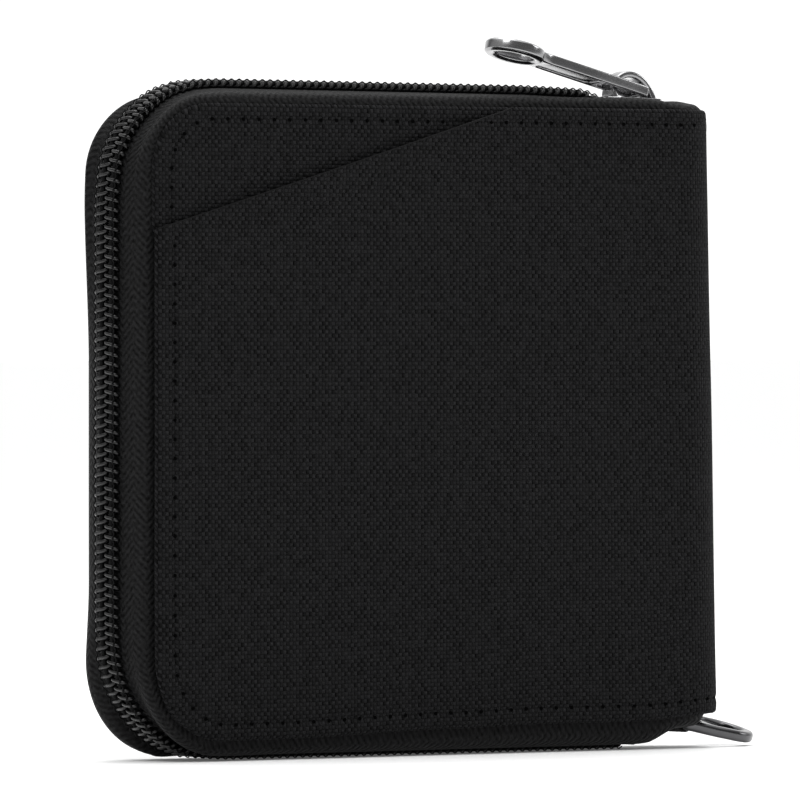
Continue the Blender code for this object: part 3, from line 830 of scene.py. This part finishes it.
def tape_row(s, side):
    """One cross-row of a tape. Past a hinge line it narrows with the spine and closes over it."""
    over = max(0.0, -s, s - RIM_LENGTH)
    narrow = math.sqrt(max(0.0, 1 - (over / HALF_DEPTH) ** 2))
    close = smooth(over / TAIL_CLOSE)
    sink = TAIL_SINK * smooth((over - TAIL_SINK_START) / (TAIL_REACH - TAIL_SINK_START))
    place, out = rim(s)
    lower = out.y < -0.99
    row = []
    along = s - RIM_LENGTH + BOTTOM_RUN
    beneath = smooth((along + BOTTOM_ARC) / BOTTOM_ARC)
    beneath *= smooth((BENEATH_END[0] - place.x) / BENEATH_END[1])
    closing = smooth((place.x - UPPER_END) / UPPER_END_REACH) if out.y > 0.99 else 0.0
    past = smooth((place.x - HINGE_X) / 0.004)
    cornering = smooth(1 - abs(along + BOTTOM_ARC / 2) / (BOTTOM_ARC / 2 + CORNER_REACH))
    fullness = smooth(1 - abs(place.y - FULL_HEIGHT) / FULL_REACH) * max(0.0, -out.x)
    for y, rise, sag_share, lift_share in TAPE_PROFILE:
        narrowed = y - TAPE_NARROWING * (0.0081 - y) / 0.0068
        spread = lerp(y, narrowed, close) * narrow
        drop_share = smooth((0.0066 - y) / 0.0020)
        height = rise - sink - drop(s) * drop_share * (1 - close) - sag(s) * sag_share
        shoulder = smooth((y - 0.0040) / 0.0016) * smooth((rise + 0.0016) / 0.0016)
        height += shoulder * (LOWER_FULLNESS * beneath + CORNER_FULLNESS[side > 0] * cornering)
        height -= max(shoulder, past) * UPPER_END_SINK * closing
        if side > 0 and y > 0.0060:
            height += BACK_FULLNESS * fullness
            spread += 0.4 * BACK_FULLNESS * fullness
        if lower:
            lift = bottom_lift(place.x) * lift_share
            near_end = smooth((place.x - (HINGE_X - 0.006)) / 0.006)
            height -= lerp(lift, bottom_lift(HINGE_X), near_end)
        spot = place + out * height
        row.append(Vector((spot.x, side * spread, spot.y)))
    return row


def make_tape(side):
    tail_step = TAIL_REACH / TAIL_STEPS
    steps = [-TAIL_REACH + i * tail_step for i in range(TAIL_STEPS + 1)]
    steps += [i * TAPE_STEP for i in range(1, int(RIM_LENGTH / TAPE_STEP) + 1)]
    steps += [RIM_LENGTH + i * tail_step for i in range(1, TAIL_STEPS + 1)]
    rows = [tape_row(s, side) for s in steps]
    across = [0.0]
    for first, second in zip(TAPE_PROFILE, TAPE_PROFILE[1:]):
        across.append(across[-1] + math.hypot(second[0] - first[0], second[1] - first[1]))
    maps = [[(u, s) for u in across] for s in steps]
    name = f"{name_of(side)}_tape_cloth"
    mesh = grid_mesh(name, rows, maps)
    middle = mesh.polygons[len(mesh.polygons) // 2]
    if middle.normal.x > 0:
        mesh.flip_normals()
    tape = thicken(new_object(name, mesh, TAPE), TAPE_THICKNESS)
    nodes = [f"{name_of(side)}_zip_tape"] + (["tape_tail"] if side > 0 else [])
    finish_piece(tape, "zip_tape", bodies_of(side), *nodes)


# ---- Coil ----
COIL_PITCH = 0.0016
WIRE = 0.00033
TURN_STEPS = 14
COIL_HEAD = -0.00008  # the wire's own line at a turn's head, just past the middle
COIL_BACK = 0.00275
COIL_LOW = 0.00255
COIL_HIGH = 0.00357
COIL_START = HINGE_X - stop_low.x + 0.0004
COIL_END = RIM_LENGTH - (HINGE_X - bottom_stop_low.x) - 0.0004
PART_AT = HINGE_X - 0.0068  # past this the two rows part, round the slider's diamond
PART_REACH = 0.004
PART_WIDTH = 0.0006
COIL_SHARE = 0.65  # below 1 the turns are flatter than round
CORD_RISE = 0.00315
CORD_SIDE = 0.00140
CORD_RADIUS = 0.00046
SEAM_SIDE = 0.00262
SEAM_RISE = COIL_HIGH + WIRE - 0.00012
SEAM_WAVE = 0.00020
SEAM_THREAD = 0.00012
SEAM_SHIFT = 0.40  # of a turn
SEAM_STEPS = 6


def squared(t):
    """Flattens a sine wave's crests, so that a turn is longer than it is round."""
    return math.copysign(abs(t) ** COIL_SHARE, t)


def make_coil(side):
    """One row: a flattened helix whose heads stand between the other row's heads."""
    phase = 0.5 if side > 0 else 0.0
    turns = int((COIL_END - COIL_START) / COIL_PITCH - 1)
    points = []
    for i in range(turns * TURN_STEPS):
        turn = i / TURN_STEPS
        s = COIL_START + COIL_PITCH * (turn + phase)
        across = 0.5 - 0.5 * squared(math.cos(2 * math.pi * turn))
        up = 0.5 + 0.5 * squared(math.sin(2 * math.pi * turn))
        part = PART_WIDTH * smooth((HINGE_X - s - PART_AT) / PART_REACH)
        y = lerp(COIL_HEAD, COIL_BACK, across) + part * (1 - across)
        points.append(chain_point(s, lerp(COIL_LOW, COIL_HIGH, up), side * y))
    row = tube_object(f"{name_of(side)}_coil", [points], WIRE, COIL, 7)
    nodes = ["back_coil_row"] if side > 0 else ["front_coil_row", "front_coil_end"]
    finish_piece(row, "zip_coil", cover_of(side), *nodes, sharp=80)
    cord = []
    for i in range(turns):
        s = COIL_START + COIL_PITCH * (i + phase)
        cord.append(chain_point(s, CORD_RISE, side * CORD_SIDE))
    filler = tube_object(f"{name_of(side)}_coil_cord", [cord], CORD_RADIUS, SEWING, 8)
    finish_piece(filler, "zip_tape", cover_of(side), sharp=80)
    line = []
    for i in range(turns * SEAM_STEPS):
        turn = i / SEAM_STEPS
        s = COIL_START + COIL_PITCH * (turn + phase)
        wave = SEAM_WAVE * math.cos(2 * math.pi * (turn - SEAM_SHIFT))
        line.append(chain_point(s, SEAM_RISE + wave, side * SEAM_SIDE))
    seam = tube_object(f"{name_of(side)}_coil_sewing", [line], SEAM_THREAD, SEWING, 5)
    finish_piece(seam, "zip_tape", cover_of(side), sharp=80)


# ---- Metal ----
def ellipse(centre, rx, ry, start=0.0, end=360.0, steps=48):
    points = []
    for i in range(steps + 1):
        angle = math.radians(lerp(start, end, i / steps))
        points.append((centre[0] + rx * math.cos(angle), centre[1] + ry * math.sin(angle)))
    return points


def plate(name, loops, thickness, bevel, place, material):
    """A flat casting: outlines with holes, thickened, all its edges rounded."""
    curve = bpy.data.curves.new(name, "CURVE")
    curve.dimensions = "2D"
    curve.fill_mode = "BOTH"
    curve.extrude = thickness / 2 - bevel
    curve.bevel_depth = bevel
    curve.bevel_resolution = 4
    curve.offset = -bevel
    for loop in loops:
        spline = curve.splines.new("POLY")
        spline.points.add(len(loop) - 1)
        for point, (u, v) in zip(spline.points, loop):
            point.co = (u, v, 0.0, 1.0)
        spline.use_cyclic_u = True
    helper = bpy.data.objects.new(name + "_curve", curve)
    bpy.context.scene.collection.objects.link(helper)
    bpy.context.view_layer.update()
    graph = bpy.context.evaluated_depsgraph_get()
    mesh = bpy.data.meshes.new_from_object(helper.evaluated_get(graph))
    bpy.data.objects.remove(helper)
    bm = bmesh.new()
    bm.from_mesh(mesh)
    bmesh.ops.remove_doubles(bm, verts=bm.verts, dist=1e-6)
    bmesh.ops.recalc_face_normals(bm, faces=bm.faces)
    bm.to_mesh(mesh)
    bm.free()
    mesh.transform(place)
    return new_object(name, mesh, material)


SLIDER_EDGE = 0.00028
SLIDER_TURN = Matrix.Rotation(CHAIN_TILT, 4, "Y")
PIVOT_IN_SLIDER = Vector((0.0028, 0, 0.0061))
SLIDER_PLACE = Matrix.Translation(PIVOT - SLIDER_TURN @ PIVOT_IN_SLIDER) @ SLIDER_TURN
WING_TOP = 0.0050
BAIL_X = 0.0010
BAIL_HALF_LENGTH = 0.0047
BAIL_SKEW = 0.0009  # its crest leans away from the spine
BAIL_HEIGHT = 0.0046
BAIL_STOCK = 0.0011
BAIL_HALF_WIDTH = 0.0014
BAIL_EDGE = 0.00034
BAIL_STEPS = 32
BAIL_FOOT = 0.25  # its feet are this share thicker


def rounded_section(half_width, half_height, corner, steps=4):
    """Outline of a bar's cross-section with rounded corners."""
    points = []
    for quarter, (sx, sy) in enumerate(((1, 1), (-1, 1), (-1, -1), (1, -1))):
        centre = (sx * (half_width - corner), sy * (half_height - corner))
        points += ellipse(centre, corner, corner, 90 * quarter, 90 * quarter + 90, steps)
    return points


def make_slider():
    section = rounded_section(BAIL_HALF_WIDTH, BAIL_STOCK / 2, BAIL_EDGE)
    half_length = BAIL_HALF_LENGTH - BAIL_STOCK / 2
    height = BAIL_HEIGHT - BAIL_STOCK / 2
    rows = []
    for i in range(BAIL_STEPS + 1):
        angle = math.pi * i / BAIL_STEPS
        x = BAIL_X + half_length * math.cos(angle) - BAIL_SKEW * math.sin(angle)
        centre = Vector((x, 0, WING_TOP + height * math.sin(angle)))
        out = Vector((math.cos(angle) / half_length, 0, math.sin(angle) / height)).normalized()
        foot = 1 + BAIL_FOOT * smooth(1 - math.sin(angle) / 0.5)
        row = [centre + out * v * foot + Vector((0, u * foot, 0)) for u, v in section]
        rows.append([SLIDER_PLACE @ point for point in row])
    bridge = new_object("slider_bridge", loft("slider_bridge", rows), METAL)
    finish_piece(bridge, "gunmetal", "slider", "slider_bail")
    soften("slider_body", METAL, SLIDER_EDGE)


def soften(node, material, width):
    """Gives a CAD node rounded edges and a finished material."""
    obj = frame["nodes"][node]
    obj.data.materials.clear()
    obj.data.materials.append(material)
    weld = obj.modifiers.new("weld", "WELD")
    weld.merge_threshold = 1e-6
    bevel = obj.modifiers.new("rounding", "BEVEL")
    bevel.width = width
    bevel.segments = 3
    bevel.limit_method = "ANGLE"
    bevel.angle_limit = math.radians(35)
    bevel.harden_normals = True
    for polygon in obj.data.polygons:
        polygon.use_smooth = True


PULLER_TILT = math.radians(14.0)
PULLER_ROLL = math.radians(-5.0)
PULLER_THICKNESS = 0.0018
PULLER_HALF_WIDTH = 0.0025
PULLER_BAR = 0.00065
PULLER_SLOT_END = 0.0085
PULLER_SLOT_HALF = 0.00165
EYE_X = 0.0274
EYE_OUTER = (0.0055, 0.0045)
EYE_INNER = (0.0038, 0.0026)
EYE_NECK = 34.0  # degrees round the eye from the lever's line to where the shank joins it
SHANK_FLARE = ((0.0022, 0.0001), (0.0036, 0.0))  # along from the neck, and in from the side
PULLER_CORNER = 0.0006
PULLER_EDGE = 0.00030
RECESS_X = 0.0155  # middle of the sunk field in the lever
RECESS = (0.0059, 0.0006, 0.0009)  # half its length, in from the lever's side, its corners
WEB = (0.0063, 0.0003, 0.0010)  # the same for the metal at its bottom
WEB_SINK = 0.0006
WEB_EDGE = 0.00010
EYE_SECTION = (0.00085, 0.00112, 0.00062)
EYE_STEPS = 64


def field(half_length, inset, corner):
    outline = rounded_section(half_length, PULLER_HALF_WIDTH - inset, corner)
    return [(u - RECESS_X, v) for u, v in outline]


def make_puller():
    turn = Matrix.Rotation(PULLER_TILT, 4, "Y") @ Matrix.Rotation(PULLER_ROLL, 4, "X")
    place = Matrix.Translation(PIVOT) @ turn
    neck = EYE_X - EYE_OUTER[0] * math.cos(math.radians(EYE_NECK))
    eye = ellipse((-EYE_X, 0), *EYE_OUTER, EYE_NECK, 360 - EYE_NECK, 56)
    shank = [(-neck + along, -PULLER_HALF_WIDTH + inset) for along, inset in SHANK_FLARE]
    corner = (PULLER_BAR - PULLER_CORNER, -PULLER_HALF_WIDTH + PULLER_CORNER)
    shank += ellipse(corner, PULLER_CORNER, PULLER_CORNER, -90, 0, 6)
    outline = eye + shank + [(u, -v) for u, v in reversed(shank)]
    hole = ellipse((-EYE_X, 0), *EYE_INNER, 0, 360, 48)[:-1]
    half = PULLER_SLOT_HALF
    slot = ellipse((half - PULLER_SLOT_END, 0), half, half, 90, 270, 16)
    slot += [(-PULLER_BAR, -half), (-PULLER_BAR, half)]
    loops = [outline, hole, slot, field(*RECESS)]
    lever = plate("puller_lever", loops, PULLER_THICKNESS, PULLER_EDGE, place, METAL)
    finish_piece(lever, "gunmetal", "puller", "puller", sharp=60)
    web_thickness = PULLER_THICKNESS - WEB_SINK
    web = plate("puller_web", [field(*WEB)], web_thickness, WEB_EDGE, place, METAL)
    finish_piece(web, "gunmetal", "puller", sharp=60)
    rows = []
    section = rounded_section(*EYE_SECTION)
    for i in range(EYE_STEPS):
        angle = 2 * math.pi * i / EYE_STEPS
        middle_x = (EYE_OUTER[0] + EYE_INNER[0]) / 2
        middle_y = (EYE_OUTER[1] + EYE_INNER[1]) / 2
        centre = Vector((-EYE_X + middle_x * math.cos(angle), middle_y * math.sin(angle), 0))
        out = Vector((math.cos(angle) / middle_x, math.sin(angle) / middle_y, 0)).normalized()
        rows.append([place @ (centre + out * u + Vector((0, 0, v))) for u, v in section])
    rim_piece = new_object("puller_eye_rim", loft("puller_eye_rim", rows, closed=True), METAL)
    finish_piece(rim_piece, "gunmetal", "puller", sharp=80)


RING_LENGTH = 0.0152
RING_LIFT = 0.0004  # its webbing holds it this much above the joint
RING_TILT = math.radians(9.5)
RING_ROLL = math.radians(12.0)
RING_THICKNESS = 0.0019
RING_HALF_WIDTH = 0.0062
RING_ROOT_HALF = 0.0040
RING_BAR = 0.0009
RING_RIM = 0.0021
RING_EDGE = 0.00070
RING_FLARE = (0.0050, 0.0056)  # where its side bends in towards the root
ROOT_CORNER = (0.0002, 0.0011)  # along from the joint, and its radius
SLOT_MIDDLE = 0.0019
SLOT_SECTION = (0.0010, 0.0027, 0.0005)
HOLE_START = 0.0060
HOLE_CORNER = 0.0010
HOLE_IN = 0.0013  # from the hole's side to the middle of a corner
STOP_SHARE = 0.42  # the bottom bar's radius, as a share of the space it has
STOP_EDGE = 0.00030
BOARD_EDGE = 0.0002
WEBBING_BEND = 0.0013
WEBBING_TOP = 0.0150
WEBBING_HALF = 0.0022
WEBBING_TURN = 0.004
WEBBING_THICKNESS = 0.0004


def make_ring():
    place = (
        Matrix.Translation(RING_PIVOT + Vector((0, 0, RING_LIFT)))
        @ Matrix.Rotation(RING_TILT, 4, "Y")
        @ Matrix.Rotation(RING_ROLL, 4, "X")
    )
    bend = RING_LENGTH - RING_HALF_WIDTH
    nose = ellipse((bend, 0), RING_HALF_WIDTH, RING_HALF_WIDTH, -90, 90, 40)
    root = [RING_FLARE, (RING_BAR, RING_ROOT_HALF)]
    along, radius = ROOT_CORNER
    root += ellipse((along, RING_ROOT_HALF - radius), radius, radius, 90, 180, 6)
    outline = nose + root + [(u, -v) for u, v in reversed(root)]
    slot = [(u + SLOT_MIDDLE, v) for u, v in rounded_section(*SLOT_SECTION)]
    half = RING_HALF_WIDTH - RING_RIM
    hole = ellipse((bend, 0), half, half, -90, 90, 32)
    for v, start in ((half - HOLE_IN, 90), (HOLE_IN - half, 180)):
        hole += ellipse((HOLE_START, v), HOLE_CORNER, HOLE_CORNER, start, start + 90, 6)
    loops = [outline, slot, hole]
    # The ring's metal is darkened by painted shade.
    loop = plate("cast_ring", loops, RING_THICKNESS, RING_EDGE, place, SHADED_METAL)
    finish_piece(loop, "gunmetal", "ring", "attachment_ring", sharp=70)


def make_bottom_stop():
    """A rounded bar across both rows, where the chain ends."""
    low, high = bottom_stop_low, bottom_stop_high
    radius = STOP_SHARE * min(high.z - low.z, high.x - low.x)
    middle = Vector((low.x + radius, 0, high.z - radius))
    across = [lerp(low.y + radius, high.y - radius, i / 8) for i in range(9)]
    path = [middle + Vector((0, y, 0)) for y in across]
    bar = tube_object("cast_bottom_stop", [path], radius, COIL, 14)
    finish_piece(bar, "gunmetal", "back_cover", "bottom_stop")


def make_tab():
    """Webbing that goes down inside the spine, round the ring's bar and back up."""
    radius, top = WEBBING_BEND, WEBBING_TOP - RING_PIVOT.z
    path = [Vector((-radius, 0, top)), Vector((-radius, 0, WEBBING_TURN))]
    path += [Vector((x, 0, z)) for x, z in ellipse((0, 0), radius, radius, 180, 360, 12)]
    path += [Vector((radius, 0, WEBBING_TURN)), Vector((radius, 0, top))]
    rows, maps, travelled = [], [], 0.0
    for i, point in enumerate(path):
        travelled += (point - path[i - 1]).length if i else 0.0
        across = [lerp(-WEBBING_HALF, WEBBING_HALF, k / 6) for k in range(7)]
        rows.append([RING_PIVOT + point + Vector((0, y, 0)) for y in across])
        maps.append([(y, travelled) for y in across])
    mesh = grid_mesh("ring_webbing", rows, maps)
    tab = new_object("ring_webbing", mesh, WEBBING)
    shell = tab.modifiers.new("thickness", "SOLIDIFY")
    shell.thickness = WEBBING_THICKNESS
    shell.offset = 0.0
    finish_piece(applied(tab), "webbing", "spine", "ring_tab")


# ---- Inside ----
LINING_CLOTH = 0.0004
SLOT_CLOTH = 0.0003
SLOT_STEPS = 24
SLOT_BOW = 0.00008
HEM_ROWS = 8
# From a slot's upper edge down to a row, and how far the row stands off the plain cloth.
HEM = (
    (0.0036, -0.00012),
    (0.0020, -0.00014),
    (0.0006, -0.00012),
    (0.0001, 0.00004),
    (0.0, 0.0002),
)
HEM_DEPTH = 0.0040
HEM_SEAM = 0.0030  # the hem's seam runs this far below the edge
HEM_PITCH = 0.0026
HEM_MARGIN = 0.002
HEM_THREAD = 0.00011
HEM_LIFT = 0.00012
HEM_STITCH = ((0.0, 0.00018), (0.15, -0.00004), (0.4, -0.00010), (0.65, -0.00004), (0.8, 0.00018))


def make_linings():
    for side in (-1, 1):
        name = name_of(side)
        lining = pattern_sheet(
            f"{name}_lining_cloth", side, LINING_DEPTH, LINING_CLOTH, LINER, LINING_RINGS
        )
        nodes = [f"{name}_lining"] + (["spine_lining"] if side > 0 else [])
        finish_piece(lining, "lining", bodies_of(side), *nodes)


def hem_rows(low, high):
    """Heights up a slot's cloth, closer together at the folded hem, with the cloth's own depth."""
    rows = [(lerp(low, high - HEM_DEPTH, i / HEM_ROWS), 0.0) for i in range(HEM_ROWS + 1)]
    return rows + [(high - down, off) for down, off in HEM]


def make_slot(node, side):
    """A card slot: a plain cloth with a folded hem, bowed slightly off the one behind."""
    low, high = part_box(node)
    outer = min(abs(low.y), abs(high.y)) + SLOT_CLOTH
    rows, maps = [], []
    for z, extra in hem_rows(low.z, high.z):
        row = []
        for i in range(SLOT_STEPS + 1):
            t = i / SLOT_STEPS
            bow = SLOT_BOW * math.sin(math.pi * t)
            row.append(Vector((lerp(low.x, high.x, t), side * (outer + extra - bow), z)))
        rows.append(row)
        maps.append([(point.x, point.z) for point in row])
    mesh = grid_mesh(f"{node}_cloth", rows, maps)
    face_out(mesh, Vector((0, -side, 0)))
    cloth = thicken(new_object(f"{node}_cloth", mesh, LINER), SLOT_CLOTH)
    finish_piece(cloth, "lining", cover_of(side), node)
    threads = []
    z = high.z - HEM_SEAM
    count = int((high.x - low.x - 2 * HEM_MARGIN) / HEM_PITCH)
    for i in range(count):
        x = low.x + HEM_MARGIN + i * HEM_PITCH
        path = []
        for t, sink in HEM_STITCH:
            path.append(Vector((x + HEM_PITCH * t, side * (outer - HEM_LIFT + sink), z)))
        threads.append(path)
    seam = tube_object(f"{node}_stitches", threads, HEM_THREAD, SEWING, 5)
    finish_piece(seam, "lining", cover_of(side))


def make_bill_pocket():
    low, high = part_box("bill_pocket")
    depth = HALF_DEPTH - abs(low.y)
    limits = [
        (Vector((0, 0, high.z)), Vector((0, 0, 1))),
        (Vector((high.x, 0, 0)), Vector((1, 0, 0))),
    ]
    cloth = pattern_sheet(
        "bill_pocket_cloth", -1, depth, SLOT_CLOTH, LINER, LINING_RINGS[:3], cuts=limits
    )
    finish_piece(cloth, "lining", "front_cover", "bill_pocket")


# ---- Setting ----
CAMERA_TURN = math.radians(-37.0)
CAMERA_DISTANCE = 1.938
CAMERA_HEIGHT = 0.0716
AIM = Vector((-0.00645, 0.0, 0.0598))
LENS = 517.0
FLOOR_SIZE = 20.0
# The room's light: from where, the cosines between which it fades in, and how strong.
STUDIO = (
    ((0, 0, 1), -1.1, -1.05, 0.18),
    ((0.602, 0.799, 0), 0.30, 0.85, 1.0),
    ((-0.1, 0.0, 1), 0.60, 0.75, 1.2),
    ((-1, 0.1, 0.1), 0.60, 0.90, 0.25),
)
LAMPS = (
    ("key", (-0.9, -0.8, 1.3), 0.7, 9.0),
    ("top", (0.2, 0.3, 1.4), 0.8, 8.0),
    ("side", (1.3, -0.5, 0.6), 0.5, 4.0),
)


def make_setting():
    scene = bpy.context.scene
    scene.view_settings.view_transform = "Standard"
    camera = bpy.data.objects.new("camera", bpy.data.cameras.new("camera"))
    scene.collection.objects.link(camera)
    back = Vector((math.sin(CAMERA_TURN), -math.cos(CAMERA_TURN), 0))
    camera.location = Vector((AIM.x, AIM.y, CAMERA_HEIGHT)) + back * CAMERA_DISTANCE
    camera.rotation_mode = "QUATERNION"
    camera.rotation_quaternion = (AIM - camera.location).to_track_quat("-Z", "Y")
    camera.data.lens = LENS
    camera.data.clip_start = 0.05
    camera.data.clip_end = 60
    scene.camera = camera

    world = bpy.data.worlds.new("studio")
    world.use_nodes = True
    tree = world.node_tree
    place = tree.nodes.new("ShaderNodeTexCoord")
    total = None
    for direction, low, high, level in STUDIO:
        facing = tree.nodes.new("ShaderNodeVectorMath")
        facing.operation = "DOT_PRODUCT"
        tree.links.new(place.outputs["Generated"], facing.inputs[0])
        facing.inputs[1].default_value = Vector(direction).normalized()
        ramp = tree.nodes.new("ShaderNodeMapRange")
        ramp.interpolation_type = "SMOOTHSTEP"
        tree.links.new(facing.outputs["Value"], ramp.inputs["Value"])
        ramp.inputs["From Min"].default_value = low
        ramp.inputs["From Max"].default_value = high
        ramp.inputs["To Min"].default_value = 0.0
        ramp.inputs["To Max"].default_value = level
        output = ramp.outputs["Result"]
        if total is not None:
            add = tree.nodes.new("ShaderNodeMath")
            tree.links.new(total, add.inputs[0])
            tree.links.new(output, add.inputs[1])
            output = add.outputs[0]
        total = output
    background = tree.nodes["Background"]
    background.inputs["Color"].default_value = (1, 1, 1, 1)
    tree.links.new(total, background.inputs["Strength"])
    scene.world = world

    bm = bmesh.new()
    bmesh.ops.create_grid(bm, x_segments=1, y_segments=1, size=FLOOR_SIZE)
    paper = Shader("white_floor", 0.9)
    paper.set("Base Color", (0.9, 0.9, 0.9, 1))
    paper.set("Specular IOR Level", 0.1)
    paper.set("Emission Color", (1, 1, 1, 1))
    paper.set("Emission Strength", 0.08)
    new_object("floor", mesh_of(bm, "floor"), paper.material)

    for name, place, size, power in LAMPS:
        light = bpy.data.objects.new(name, bpy.data.lights.new(name, "AREA"))
        scene.collection.objects.link(light)
        light.data.shape = "SQUARE"
        light.data.size = size
        light.data.energy = power
        light.location = place
        light.rotation_mode = "QUATERNION"
        light.rotation_quaternion = (AIM - light.location).to_track_quat("-Z", "Y")


# ---- Assembly ----
make_covers()
make_mouth_fold()
for side in (-1, 1):
    make_stitches(side)
    make_tape(side)
    make_coil(side)
make_linings()
for index in range(4):
    make_slot(f"card_slot_{index + 1}", 1)
make_bill_pocket()
make_slider()
make_puller()
make_ring()
make_tab()
make_bottom_stop()
for node in ("back_top_stop", "front_top_stop"):
    soften(node, COIL, STOP_EDGE)
for node in ("back_board", "front_board"):
    soften(node, STIFFENER, BOARD_EDGE)
make_setting()
